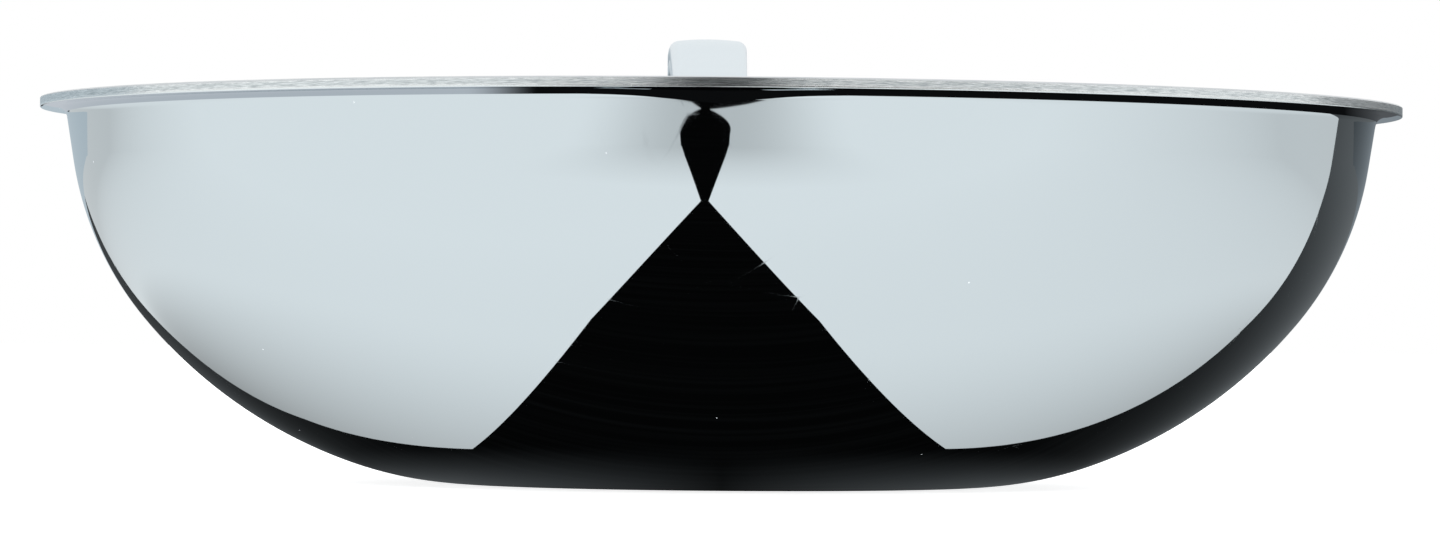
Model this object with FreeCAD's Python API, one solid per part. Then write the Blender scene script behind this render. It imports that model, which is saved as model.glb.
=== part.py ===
"""Flat-bottomed wok pressed from five bonded plies, with a hollow stainless handle.

Units are millimetres. The origin is the centre of the underside of the base, +Z is up and the
handle runs along +Y. Every piece is one node: parts/NODE.step.
"""

import FreeCAD, Part
import math
import os

# ---------------------------------------------------------------- driving dimensions

# Bowl, on its outer face
rim_diameter = 314.0        # over the flange
bowl_height = 88.0          # underside of the base to the top of the flange
flange_overhang = 6.2       # from the top of the wall to the edge of the flange
flange_fillet = 2.5         # under the flange
wall_straight = 10.0        # straight stretch of wall below the flange
wall_angle = 81.0           # of that stretch, from the horizontal
shoulder_radius = 74.0      # upper arc of the side
shoulder_angle = 50.0       # slope where the upper arc meets the middle arc
corner_radius = 88.0        # lower arc, where the flat base turns up
corner_angle = 20.0         # slope where the lower arc meets the middle arc
edge_break = 0.25           # rounding of the two corners of the cut edge

# Plies, from the outside in
ply_thickness = {
    "outer_ply": 0.5,        # magnetic stainless, mirror polished
    "outer_alloy_ply": 0.25,
    "core_ply": 0.9,
    "inner_alloy_ply": 0.25,
    "inner_ply": 0.4,        # food-grade stainless, satin
}

# Foot of the handle: a cast saddle on the wall, a neck, and a tongue inside the shells
foot_drop = 25.0            # from the top of the flange to the middle of the saddle
saddle_width = 52.0
saddle_height = 38.0
saddle_corner = 9.0
saddle_thickness = 2.2
saddle_edge_radius = 0.8
neck_root_width = 25.0      # where the neck grows out of the saddle
neck_root_height = 12.0
neck_end_width = 16.0       # at the collar
neck_end_height = 10.0
neck_corner = 3.0
neck_fillet = 2.0           # between the neck and the saddle
tongue_length = 36.0        # inside the shells
tongue_gap = 1.5            # between the tongue's sides and the shells

# Rivets
rivet_radius = 2.5
rivet_side_offset = 19.0    # of the two upper rivets, from the middle of the saddle
rivet_rise = 5.0            # of the two upper rivets, above the middle of the saddle
rivet_fall = 13.5           # of the lower rivet, below the middle of the saddle
inner_head_radius = 5.0
inner_head_height = 1.6
outer_head_radius = 4.2
outer_head_height = 1.5

# Handle: two pressed shells, welded along the middle
handle_reach = 208.0        # from the edge of the flange to the tip, level
handle_front_width = 18.0
handle_end_width = 23.0
handle_thickness = 12.0
handle_crown = 0.8          # rise of the middle of the top and bottom over their edges
handle_edge_radius = 2.6
handle_tip_radius = 9.0     # of the two corners of the tip, seen from above
handle_shell = 1.2          # thickness of the sheet

# Line through the middle of the handle; slopes are from the horizontal
neck_rise = 2.5             # where it leaves the wall, above the middle of the saddle
neck_length = 22.0          # from the wall to the collar
neck_run = 26.0             # straight stretch from the wall
neck_slope = 28.0
neck_bend_radius = 110.0
grip_slope = 12.0
crest_radius = 170.0
tip_slope = -3.0
tip_run = 20.0              # straight stretch at the tip

# Collar between the neck and the shells
collar_length = 3.0
collar_stand = 0.5          # proud of the shells all round
collar_clearance = 0.15     # round the tongue

# Countersunk screws, from below, through the lower shell into the tongue
screw_radius = 2.0
screw_head_radius = 3.6
screw_head_depth = 1.6
screw_length = 8.0
screw_first = 10.0          # from the collar to the first screw
screw_pitch = 16.0
socket_radius = 1.2         # across the corners of the hexagonal key hole
socket_depth = 1.2

# Hanging eye: a tube through both shells, with rolled lips
eye_setback = 14.0          # from the tip to the middle of the eye
eye_bore = 4.0              # radius
eye_wall = 1.0
eye_lip = 1.6               # width of the lips beyond the tube
eye_lip_height = 0.7
eye_lip_rounding = 0.5

# ---------------------------------------------------------------- worked out from those

V = FreeCAD.Vector
AXIS_POINT = V(0, 0, 0)
UP = V(0, 0, 1)
SIDEWAYS = V(1, 0, 0)
INSIDE = 1                  # an arc of the wall with its centre inside the bowl
OUTSIDE = -1


def sine(angle):
    return math.sin(math.radians(angle))


def cosine(angle):
    return math.cos(math.radians(angle))


rim_radius = rim_diameter / 2
sheet = sum(ply_thickness.values())
flange_underside = bowl_height - sheet
wall_top_radius = rim_radius - flange_overhang
wall_top = flange_underside - flange_fillet * (1 - cosine(wall_angle))
foot_height = bowl_height - foot_drop
half = handle_thickness / 2
collar_start = neck_length
shell_start = neck_length + collar_length
tip_y = rim_radius + handle_reach
tall = 3 * bowl_height      # more than the height of anything

# The middle arc of the side takes the rise that the other stretches leave, and the flat base
# takes the radius that they leave.
middle_rise = (
    wall_top
    - wall_straight * sine(wall_angle)
    - shoulder_radius * (cosine(shoulder_angle) - cosine(wall_angle))
    - corner_radius * (1 - cosine(corner_angle))
)
middle_radius = middle_rise / (cosine(corner_angle) - cosine(shoulder_angle))
base_radius = (
    wall_top_radius
    - wall_straight * cosine(wall_angle)
    - shoulder_radius * (sine(wall_angle) - sine(shoulder_angle))
    - middle_radius * (sine(shoulder_angle) - sine(corner_angle))
    - corner_radius * sine(corner_angle)
)


# ---------------------------------------------------------------- bowl

def line(start, end):
    return Part.LineSegment(start, end).toShape()


def arc(start, middle, end):
    return Part.Arc(start, middle, end).toShape()


def spun(edges):
    """The solid that a closed outline in the XZ plane sweeps round the bowl's axis."""
    outline = Part.Wire(Part.__sortEdges__(edges))
    return Part.Face(outline).revolve(AXIS_POINT, UP, 360)


def wall_arc(centre_r, centre_z, radius, begin, end, side):
    """An arc of the wall's outline between two slopes."""
    def at(slope):
        return V(
            centre_r + side * radius * sine(slope), 0, centre_z - side * radius * cosine(slope)
        )
    return arc(at(begin), at((begin + end) / 2), at(end))


def side_arcs():
    """(radius, slope where it begins, slope where it ends, centre) of the three arcs of the
    side, from the base up."""
    arcs = []
    r, z, slope = base_radius, 0.0, 0.0
    for radius, end in (
        (corner_radius, corner_angle),
        (middle_radius, shoulder_angle),
        (shoulder_radius, wall_angle),
    ):
        centre_r = r - radius * sine(slope)
        centre_z = z + radius * cosine(slope)
        arcs.append((radius, slope, end, (centre_r, centre_z)))
        r = centre_r + radius * sine(end)
        z = centre_z - radius * cosine(end)
        slope = end
    return arcs


def wall_line(depth):
    """The wall's outline from the axis to the cut edge, at this depth into the sheet from its
    outer face. A negative depth lies outside the bowl."""
    edges = [line(V(0, 0, depth), V(base_radius, 0, depth))]
    for radius, begin, end, (centre_r, centre_z) in side_arcs():
        edges.append(wall_arc(centre_r, centre_z, radius - depth, begin, end, INSIDE))
    top = V(wall_top_radius - depth * sine(wall_angle), 0, wall_top + depth * cosine(wall_angle))
    edges.append(line(edges[-1].Vertexes[-1].Point, top))
    bend_r = wall_top_radius + flange_fillet * sine(wall_angle)
    bend_z = flange_underside - flange_fillet
    edges.append(wall_arc(bend_r, bend_z, flange_fillet + depth, wall_angle, 0, OUTSIDE))
    level = flange_underside + depth
    edges.append(line(V(bend_r, 0, level), V(rim_radius, 0, level)))
    return edges


def layer(outer, inner):
    """The wall between two depths into the sheet."""
    at_axis = line(V(0, 0, outer), V(0, 0, inner))
    at_rim = line(
        V(rim_radius, 0, flange_underside + outer), V(rim_radius, 0, flange_underside + inner)
    )
    return spun(wall_line(outer) + wall_line(inner) + [at_axis, at_rim])


def filled_bowl(depth):
    """Everything inside the wall, out to this depth into the sheet."""
    edges = wall_line(depth)
    top = V(rim_radius, 0, flange_underside + depth)
    middle = V(0, 0, top.z)
    return spun(edges + [line(V(0, 0, depth), middle), line(middle, top)])


def wall_at(height):
    """(radius, slope) of the outer face of the side at this height."""
    for radius, begin, end, (centre_r, centre_z) in side_arcs():
        slope_cosine = (centre_z - height) / radius
        if slope_cosine >= cosine(end):
            slope = math.degrees(math.acos(slope_cosine))
            return centre_r + radius * sine(slope), slope
    return wall_top_radius - (wall_top - height) * cosine(wall_angle) / sine(wall_angle), wall_angle


def ply(outer, inner, holes):
    """One ply, with the rivets' holes. The two faces of the whole sheet have a softened edge."""
    blank = layer(outer, inner)
    sharp = []
    for edge in blank.Edges:
        box = edge.BoundBox
        on_face = outer == 0 and box.ZMax < flange_underside + inner / 2
        on_face = on_face or (inner == sheet and box.ZMin > bowl_height - (inner - outer) / 2)
        if on_face and box.ZLength < 0.01 and box.XMax > rim_radius - 0.01:
            sharp.append(edge)
    if sharp:
        blank = blank.makeFillet(edge_break, sharp)
    return blank.cut(holes)


def plies(holes):
    """{name: ply}, from the outside in."""
    made = {}
    depth = 0.0
    for name, thickness in ply_thickness.items():
        inner = sheet if name == list(ply_thickness)[-1] else depth + thickness
        made[name] = ply(depth, inner, holes)
        depth = inner
    return made


# ---------------------------------------------------------------- rivets

def rivet_seats():
    """(point on the outer face of the wall, outward direction) of each rivet."""
    seats = []
    for offset, rise in (
        (-rivet_side_offset, rivet_rise),
        (rivet_side_offset, rivet_rise),
        (0.0, -rivet_fall),
    ):
        radius, slope = wall_at(foot_height + rise)
        turn = math.asin(offset / radius)
        point = V(radius * math.sin(turn), radius * math.cos(turn), foot_height + rise)
        out = V(sine(slope) * math.sin(turn), sine(slope) * math.cos(turn), -cosine(slope))
        seats.append((point, out))
    return seats


def rivet_pin(point, out, beyond_inside, beyond_outside):
    """A cylinder through the wall and the saddle, and this far beyond each."""
    length = beyond_inside + sheet + saddle_thickness + beyond_outside
    return Part.makeCylinder(rivet_radius, length, point - out * (sheet + beyond_inside), out)


def rivet_holes():
    beyond = inner_head_height + saddle_thickness
    return [rivet_pin(point, out, beyond, beyond) for point, out in rivet_seats()]


def dome(radius, height, sunk, point, out):
    """A rivet's head: a cap on a stub that is sunk below its seat."""
    ball = (radius ** 2 + height ** 2) / (2 * height)
    cap = Part.makeSphere(ball, point + out * (height - ball), out)
    stub = Part.makeCylinder(radius, height + sunk, point - out * sunk, out)
    return cap.common(stub)


def rivets(saddle_plate, holes):
    """Solid rivets, each with a head on the wall's inner face and one on the saddle."""
    under_heads = layer(0.0, sheet).cut(holes).fuse(saddle_plate.cut(holes))
    made = []
    for point, out in rivet_seats():
        inner = dome(inner_head_radius, inner_head_height, sheet / 2, point - out * sheet, -out)
        seat = point + out * saddle_thickness
        outer = dome(outer_head_radius, outer_head_height, saddle_thickness / 2, seat, out)
        pin = rivet_pin(point, out, inner_head_height / 2, outer_head_height / 2)
        heads = [head.cut(under_heads) for head in (inner, outer)]
        made.append(pin.fuse(heads).removeSplitter())
    return Part.makeCompound(made)


# ---------------------------------------------------------------- the handle's line

# It lies in the YZ plane, from the outer face of the wall to the tip: straight up the neck, a
# bend, the long grip, a bend over the crest, and the straight tip. The grip takes the length
# that the others leave. Each stretch is (length, slope where it begins, slope where it ends).
line_height = foot_height + neck_rise
line_start = V(0, wall_at(line_height)[0], line_height)


def level_run(length, begin, end):
    """How far a stretch runs along +Y."""
    if begin == end:
        return length * cosine(begin)
    return length / math.radians(begin - end) * (sine(begin) - sine(end))


neck = (neck_run, neck_slope, neck_slope)
neck_bend = (neck_bend_radius * math.radians(neck_slope - grip_slope), neck_slope, grip_slope)
crest = (crest_radius * math.radians(grip_slope - tip_slope), grip_slope, tip_slope)
tip = (tip_run, tip_slope, tip_slope)
grip_level = tip_y - line_start.y - sum(level_run(*part) for part in (neck, neck_bend, crest, tip))
grip = (grip_level / cosine(grip_slope), grip_slope, grip_slope)
stretches = [neck, neck_bend, grip, crest, tip]
line_length = sum(length for length, begin, end in stretches)
past_tip = line_length + handle_thickness


def moved(point, length, begin, end):
    """The point this far on, where the slope turns evenly from begin to end."""
    chord = length
    if begin != end:
        half_turn = math.radians(begin - end) / 2
        chord = length * math.sin(half_turn) / half_turn
    middle = (begin + end) / 2
    return point + V(0, cosine(middle), sine(middle)) * chord


def on_line(distance):
    """(point, slope) on the handle's line, this far along it from the wall."""
    point, left = line_start, distance
    for length, begin, end in stretches:
        if left <= length:
            slope = begin + (end - begin) * left / length
            return moved(point, left, begin, slope), slope
        point = moved(point, length, begin, end)
        left -= length
    return moved(point, left, tip_slope, tip_slope), tip_slope


def line_path(start, stop):
    """The handle's line between two distances from the wall; it may run on past the tip."""
    edges = []
    passed = 0.0
    for length, begin, end in stretches[:-1] + [(2 * line_length, tip_slope, tip_slope)]:
        low, high = max(start, passed), min(stop, passed + length)
        passed += length
        if high <= low:
            continue
        points = [on_line(distance)[0] for distance in (low, (low + high) / 2, high)]
        edges.append(line(points[0], points[2]) if begin == end else arc(*points))
    return Part.Wire(edges)


def across(slope):
    """The direction square to the handle's line and to SIDEWAYS, upwards."""
    return V(0, -sine(slope), cosine(slope))


def crowned(distance, width, low, high, crown):
    """A rectangle square to the handle's line, from low to high over the line, whose top and
    bottom bulge by the crown."""
    middle, slope = on_line(distance)
    up, side = across(slope), SIDEWAYS * (width / 2)
    top, bottom = middle + up * high, middle + up * low
    if crown == 0:
        corners = [top - side, top + side, bottom + side, bottom - side]
        return Part.makePolygon(corners + corners[:1])
    shoulder, heel = top - up * crown, bottom + up * crown
    return Part.Wire([
        arc(shoulder - side, top, shoulder + side),
        line(shoulder + side, heel + side),
        arc(heel + side, bottom, heel - side),
        line(heel - side, shoulder - side),
    ])


def bar(start, stop, low, high, crown=0.0):
    """A bar along the handle's line, twice as wide as the handle, from low to high over it."""
    widening = 2
    profile = crowned(start, widening * handle_end_width, low, high, crown * widening ** 2)
    pipe = line_path(start, stop).makePipeShell([profile], True, False)
    return pipe if pipe.Volume > 0 else pipe.reversed()


# ---------------------------------------------------------------- shells

def width_at(y):
    """Width of the handle seen from above: it grows evenly from the collar to the tip."""
    front = on_line(shell_start)[0].y
    share = (y - front) / (tip_y - front)
    return handle_front_width + (handle_end_width - handle_front_width) * share


def plan(inset, start_y, end_y, corner):
    """The handle's outline seen from above, moved in by the inset, as a tall prism. Its far end
    has two round corners, or square ones where the corner is 0."""
    start, end = width_at(start_y) / 2 - inset, width_at(end_y) / 2 - inset
    first, square = V(start, start_y, 0), V(end, end_y, 0)

    def mirrored(point):
        return V(-point.x, point.y, 0)

    if corner == 0:
        points = [mirrored(first), first, square, mirrored(square), mirrored(first)]
        return Part.Face(Part.makePolygon(points)).extrude(UP * tall)
    # the corner's centre lies one radius in from the end and from the leaning side
    lean = math.atan2(end - start, end_y - start_y)
    centre = V(end - corner * math.tan(lean) - corner / math.cos(lean), end_y - corner, 0)
    touch = centre + V(math.cos(lean), -math.sin(lean), 0) * corner
    half_turn = (math.pi / 2 - lean) / 2
    middle = centre + V(math.cos(half_turn), math.sin(half_turn), 0) * corner
    last = V(centre.x, end_y, 0)
    outline = Part.Wire([
        line(mirrored(first), first),
        line(first, touch),
        arc(touch, middle, last),
        line(last, mirrored(last)),
        arc(mirrored(last), mirrored(middle), mirrored(touch)),
        line(mirrored(touch), mirrored(first)),
    ])
    return Part.Face(outline).extrude(UP * tall)


def rounded(shape, radius, front_y, thickness):
    """The shape with the edges round its top and its bottom rounded. Its front edges and its
    upright edges stay sharp."""
    edges = []
    for edge in shape.Edges:
        box = edge.BoundBox
        at_front = box.YMax < front_y + thickness * sine(neck_slope)
        upright = box.ZLength > thickness / 2 and box.YLength < thickness / 2
        if not at_front and not upright:
            edges.append(edge)
    return shape.makeFillet(radius, edges)


def grip_body(inset):
    """The outside of the two shells, or their inside where the inset is their sheet."""
    start = shell_start - inset
    blank = bar(start, past_tip, inset - half, half - inset, handle_crown)
    front_y = on_line(start)[0].y
    outline = plan(inset, front_y - handle_thickness, tip_y - inset, handle_tip_radius - inset)
    return rounded(
        blank.common(outline), handle_edge_radius - inset, front_y, handle_thickness - 2 * inset
    )


def shells(fittings):
    """The upper and the lower shell, less what passes through them."""
    body = grip_body(0.0).cut(grip_body(handle_shell))
    start = shell_start - handle_thickness
    upper = body.common(bar(start, past_tip, 0.0, handle_thickness))
    lower = body.common(bar(start, past_tip, -handle_thickness, 0.0))
    return upper.cut(fittings), lower.cut(fittings)


# ---------------------------------------------------------------- foot and collar

def rounded_rectangle(middle, up, width, height, corner):
    """A rectangle with round corners, whose width lies along SIDEWAYS."""
    def at(x, z):
        return middle + SIDEWAYS * x + up * z

    cut_in = corner * (1 - cosine(45))
    bends = []
    for x_sign, z_sign in ((1, 1), (1, -1), (-1, -1), (-1, 1)):
        x, z = x_sign * width / 2, z_sign * height / 2
        along_top = at(x - x_sign * corner, z)
        along_side = at(x, z - z_sign * corner)
        first, last = (along_top, along_side) if x_sign == z_sign else (along_side, along_top)
        bends.append((first, at(x - x_sign * cut_in, z - z_sign * cut_in), last))
    edges = []
    for number, bend in enumerate(bends):
        edges.append(arc(*bend))
        edges.append(line(bend[2], bends[(number + 1) % len(bends)][0]))
    return Part.Wire(edges)


def saddle():
    """A plate with round corners, formed to the wall."""
    radius, slope = wall_at(foot_height)
    out, up = V(0, sine(slope), -cosine(slope)), V(0, cosine(slope), sine(slope))
    behind = V(0, radius, foot_height) - out * (radius / 2)
    outline = rounded_rectangle(behind, up, saddle_width, saddle_height, saddle_corner)
    prism = Part.Face(outline).extrude(out * radius)
    return layer(-saddle_thickness, 0.0).common(prism)


def height_over_wall(point):
    """How far a point near the side stands out from its outer face."""
    radius, slope = wall_at(min(point.z, wall_top))
    return (math.hypot(point.x, point.y) - radius) * sine(slope)


def outer_edges(shape, half_width):
    """The edges that lie on the saddle's outer face, no further from its middle than this."""
    edges = []
    for edge in shape.Edges:
        middle = edge.valueAt((edge.FirstParameter + edge.LastParameter) / 2)
        on_face = abs(height_over_wall(middle) - saddle_thickness) < saddle_thickness / 10
        if on_face and abs(middle.x) < half_width:
            edges.append(edge)
    return edges


def neck_section(distance):
    share = distance / neck_length
    point, slope = on_line(distance)
    width = neck_root_width + (neck_end_width - neck_root_width) * share
    height = neck_root_height + (neck_end_height - neck_root_height) * share
    return rounded_rectangle(point, across(slope), width, height, neck_corner)


def tongue(clearance):
    """A flat bar inside the shells, which starts inside the neck."""
    start, stop = collar_start - collar_length, shell_start + tongue_length
    high = half - handle_shell + clearance
    blank = bar(start, stop, -high, high, handle_crown)
    start_y = on_line(start)[0].y - handle_thickness
    stop_y = on_line(stop)[0].y + handle_thickness
    return blank.common(plan(handle_shell + tongue_gap - clearance, start_y, stop_y, 0))


def handle_foot(saddle_plate, holes):
    """Saddle, neck and tongue, cast in one."""
    plate = saddle_plate.makeFillet(saddle_edge_radius, outer_edges(saddle_plate, saddle_width))
    root, end = neck_section(-neck_root_height), neck_section(collar_start)
    neck_solid = Part.makeLoft([root, end], True).cut(filled_bowl(-saddle_thickness / 2))
    joined = plate.fuse(neck_solid).removeSplitter()
    joined = joined.makeFillet(neck_fillet, outer_edges(joined, neck_root_width / 2))
    return joined.fuse(tongue(0.0)).removeSplitter().cut(holes)


def handle_collar():
    """A ring between the neck and the shells, open for the tongue."""
    point, slope = on_line(collar_start)
    width, height = handle_front_width + 2 * collar_stand, handle_thickness + 2 * collar_stand
    corner = handle_edge_radius + collar_stand
    outline = rounded_rectangle(point, across(slope), width, height, corner)
    along = V(0, cosine(slope), sine(slope))
    return Part.Face(outline).extrude(along * collar_length).cut(tongue(collar_clearance))


# ---------------------------------------------------------------- screws and hanging eye

def screw_places():
    """How far along the handle's line the screws are."""
    first = shell_start + screw_first
    return [first, first + screw_pitch]


def screw_blank(distance):
    """A countersunk screw up from the underside of the handle, carried on below it."""
    point, slope = on_line(distance)
    up = across(slope)
    seat = point - up * half
    cone = Part.makeCone(screw_head_radius, screw_radius, screw_head_depth, seat, up)
    below = Part.makeCylinder(screw_head_radius, screw_head_depth, seat - up * screw_head_depth, up)
    pin = Part.makeCylinder(screw_radius, screw_length, seat, up)
    return cone.fuse([below, pin]).removeSplitter()


def key_hole(distance):
    """A hexagonal hole in the middle of a screw's head."""
    point, slope = on_line(distance)
    up = across(slope)
    behind = SIDEWAYS.cross(up)
    start = point - up * (half + socket_depth)
    corners = []
    for turn in range(0, 361, 60):
        corners.append(start + (SIDEWAYS * cosine(turn) + behind * sine(turn)) * socket_radius)
    return Part.Face(Part.makePolygon(corners)).extrude(up * (2 * socket_depth))


def handle_screws():
    """Both screws, with their heads flush with the lower shell."""
    skin = bar(shell_start, line_length, -half, half, handle_crown)
    return Part.makeCompound(
        [screw_blank(place).common(skin).cut(key_hole(place)) for place in screw_places()]
    )


def eye_cylinder(radius, half_length):
    """A cylinder round the bore of the hanging eye, as long above the handle's line as below."""
    point, slope = on_line(line_length - eye_setback)
    up = across(slope)
    return Part.makeCylinder(radius, 2 * half_length, point - up * half_length, up)


def hanging_eye():
    """A tube through both shells, with a rolled lip at each end."""
    lip_top = half + eye_lip_height
    tube = eye_cylinder(eye_bore + eye_wall, lip_top)
    lips = eye_cylinder(eye_bore + eye_wall + eye_lip, lip_top)
    rims = [edge for edge in lips.Edges if edge.Closed]
    lips = lips.makeFillet(eye_lip_rounding, rims).cut(grip_body(0.0))
    return tube.fuse(lips).removeSplitter().cut(eye_cylinder(eye_bore, handle_thickness))


# ---------------------------------------------------------------- build

def main():
    os.makedirs("parts", exist_ok=True)
    wall_holes = rivet_holes()
    screws = [screw_blank(place) for place in screw_places()]
    saddle_plate = saddle()
    nodes = plies(wall_holes)
    nodes["rivets"] = rivets(saddle_plate, wall_holes)
    nodes["handle_foot"] = handle_foot(saddle_plate, wall_holes + screws)
    nodes["handle_collar"] = handle_collar()
    fittings = screws + [eye_cylinder(eye_bore + eye_wall, handle_thickness)]
    nodes["upper_shell"], nodes["lower_shell"] = shells(fittings)
    nodes["handle_screws"] = handle_screws()
    nodes["hanging_eye"] = hanging_eye()
    for name, shape in nodes.items():
        shape.exportStep("parts/" + name + ".step")


main()
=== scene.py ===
import math
import bmesh
import bpy
from mathutils import Matrix, Vector


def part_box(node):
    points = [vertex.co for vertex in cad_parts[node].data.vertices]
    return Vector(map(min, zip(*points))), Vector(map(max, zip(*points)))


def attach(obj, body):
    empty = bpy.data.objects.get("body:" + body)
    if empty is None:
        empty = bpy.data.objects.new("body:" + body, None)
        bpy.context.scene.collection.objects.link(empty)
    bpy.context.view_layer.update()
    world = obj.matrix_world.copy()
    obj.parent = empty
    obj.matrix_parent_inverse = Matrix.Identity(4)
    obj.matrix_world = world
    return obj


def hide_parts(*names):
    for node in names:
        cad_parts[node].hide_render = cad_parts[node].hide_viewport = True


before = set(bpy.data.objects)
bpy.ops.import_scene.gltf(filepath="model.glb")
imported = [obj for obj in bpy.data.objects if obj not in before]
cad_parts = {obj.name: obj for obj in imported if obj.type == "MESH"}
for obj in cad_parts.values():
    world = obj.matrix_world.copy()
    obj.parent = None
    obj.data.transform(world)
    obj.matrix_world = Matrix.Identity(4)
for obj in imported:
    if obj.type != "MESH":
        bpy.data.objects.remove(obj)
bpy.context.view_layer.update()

mm = 0.001

# ---------------------------------------------------------------- camera
# A long lens far back, a little above the surface the pan stands on and a little to the left
# of the handle's line. The camera leans by half a degree, as a hand-levelled tripod head does.

camera_distance = 1422 * mm
camera_height = 33.6 * mm
camera_side = -17 * mm
camera_pitch = 0.587
camera_yaw = math.degrees(math.atan2(camera_side, camera_distance))
camera_roll = 0.446

lens = bpy.data.cameras.new("camera")
lens.lens = 153.4
lens.sensor_width = 36
lens.clip_end = 100
camera = bpy.data.objects.new("camera", lens)
bpy.context.scene.collection.objects.link(camera)
camera.matrix_world = (
    Matrix.Translation((camera_side, -camera_distance, camera_height))
    @ Matrix.Rotation(math.radians(camera_yaw), 4, "Z")
    @ Matrix.Rotation(math.radians(90 + camera_pitch), 4, "X")
    @ Matrix.Rotation(math.radians(camera_roll), 4, "Z")
)
bpy.context.scene.camera = camera

# ---------------------------------------------------------------- bowl: five bonded plies
# Stainless skins and aluminium alloy layers are rolled into one sheet, drawn to a bowl with a
# flat base, turned out flat at the rim and trimmed square. The outer skin is mirror polished,
# the inner one has fine circles from a belt, and the cut edge shows all five plies.

rim_radius = 157 * mm
bowl_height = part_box("inner_ply")[1].z
ply_thickness = {       # from the outside in
    "outer_ply": 0.5 * mm, "outer_alloy_ply": 0.25 * mm, "core_ply": 0.9 * mm,
    "inner_alloy_ply": 0.25 * mm, "inner_ply": 0.4 * mm,
}
sheet = sum(ply_thickness.values())
flange_underside = bowl_height - sheet
flange_fillet = 2.5 * mm
wall_top_radius = rim_radius - 6.2 * mm
wall_straight = 10 * mm
wall_angle = 81.0
shoulder_radius, shoulder_angle = 74 * mm, 50.0
corner_radius, corner_angle = 88 * mm, 20.0
edge_break = 0.25 * mm
degrees_per_point = 1.5         # of slope, along the arcs of the wall
most_points_per_arc = 24
steps_around = 384
merge_distance, tolerance = 0.001 * mm, 0.01 * mm


def sine(angle):
    return math.sin(math.radians(angle))


def cosine(angle):
    return math.cos(math.radians(angle))


straight_top = flange_underside - flange_fillet * (1 - cosine(wall_angle))
middle_rise = (
    straight_top
    - wall_straight * sine(wall_angle)
    - shoulder_radius * (cosine(shoulder_angle) - cosine(wall_angle))
    - corner_radius * (1 - cosine(corner_angle))
)
middle_radius = middle_rise / (cosine(corner_angle) - cosine(shoulder_angle))
base_radius = (
    wall_top_radius
    - wall_straight * cosine(wall_angle)
    - shoulder_radius * (sine(wall_angle) - sine(shoulder_angle))
    - middle_radius * (sine(shoulder_angle) - sine(corner_angle))
    - corner_radius * sine(corner_angle)
)

# the wall from the flat base up, as (radius, or 0 where it is straight; length; slope it ends at)
stretches_of_wall = (
    (corner_radius, 0, corner_angle), (middle_radius, 0, shoulder_angle),
    (shoulder_radius, 0, wall_angle), (0, wall_straight, wall_angle),
    (-flange_fillet, 0, 0.0),
)


def wall_points(depth):
    """(radius, height, slope) along the wall, this deep into the sheet, from axis to cut edge."""
    points = [(base_radius * share, depth, 0.0) for share in (0.0, 0.25, 0.5, 0.75, 0.9, 1.0)]
    r, z, slope = base_radius, 0.0, 0.0
    for radius, length, end in stretches_of_wall:
        if radius:
            centre_r, centre_z = r - radius * sine(slope), z + radius * cosine(slope)
            steps = min(most_points_per_arc, round(abs(end - slope) / degrees_per_point))
            for step in range(1, steps + 1):
                angle = slope + (end - slope) * step / steps
                reach = radius - depth
                points.append((centre_r + reach * sine(angle), centre_z - reach * cosine(angle), angle))
            r, z, slope = centre_r + radius * sine(end), centre_z - radius * cosine(end), end
        else:
            inner_r, inner_z = r - depth * sine(slope), z + depth * cosine(slope)
            for share in (0.02, 0.3, 0.65, 0.98, 1.0):
                along_r, along_z = length * share * cosine(slope), length * share * sine(slope)
                points.append((inner_r + along_r, inner_z + along_z, slope))
            r, z = r + length * cosine(slope), z + length * sine(slope)
    for share in (0.3, 0.6, 0.85, 1.0):
        points.append((r + (rim_radius - r) * share, flange_underside + depth, 0.0))
    return points


def srgb(code):
    """A colour given as six hex digits, as linear RGBA."""
    channels = [int(code[i:i + 2], 16) / 255 for i in (1, 3, 5)]
    return [c / 12.92 if c <= 0.04045 else ((c + 0.055) / 1.055) ** 2.4 for c in channels] + [1.0]


def add(tree, kind, links=(), **settings):
    """Adds a node. Settings are its properties. Links fill its inputs, by name or in order,
    with values, with sockets, or with nodes, whose first output is meant."""
    node = tree.nodes.new(kind)
    for name, value in settings.items():
        setattr(node, name, value)
    for name, value in links.items() if isinstance(links, dict) else enumerate(links):
        source = value.outputs[0] if isinstance(value, bpy.types.Node) else value
        if isinstance(source, bpy.types.NodeSocket):
            tree.links.new(source, node.inputs[name])
        else:
            node.inputs[name].default_value = source
    return node


def new_material(name):
    """An empty material with its output: (material, tree, output node)."""
    material = bpy.data.materials.new(name)
    material.use_nodes = True
    tree = material.node_tree
    tree.nodes.clear()
    return material, tree, tree.nodes.new("ShaderNodeOutputMaterial")


def spun_shell(outline):
    """A closed shell of revolution: a quarter turn of the outline, mirrored twice."""
    bm = bmesh.new()
    verts = [bm.verts.new((r, 0, z)) for r, z, slope in outline]
    edges = [bm.edges.new(pair) for pair in zip(verts, verts[1:])]
    bmesh.ops.spin(
        bm, geom=verts + edges, cent=(0, 0, 0), axis=(0, 0, 1), angle=math.pi / 2,
        steps=steps_around // 4, use_merge=False, use_duplicate=False,
    )
    for axis in ("X", "Y"):
        whole = bm.verts[:] + bm.edges[:] + bm.faces[:]
        bmesh.ops.mirror(bm, geom=whole, axis=axis, merge_dist=merge_distance)
    bmesh.ops.remove_doubles(bm, verts=bm.verts, dist=merge_distance)
    bmesh.ops.recalc_face_normals(bm, faces=bm.faces)
    return bm


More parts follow.
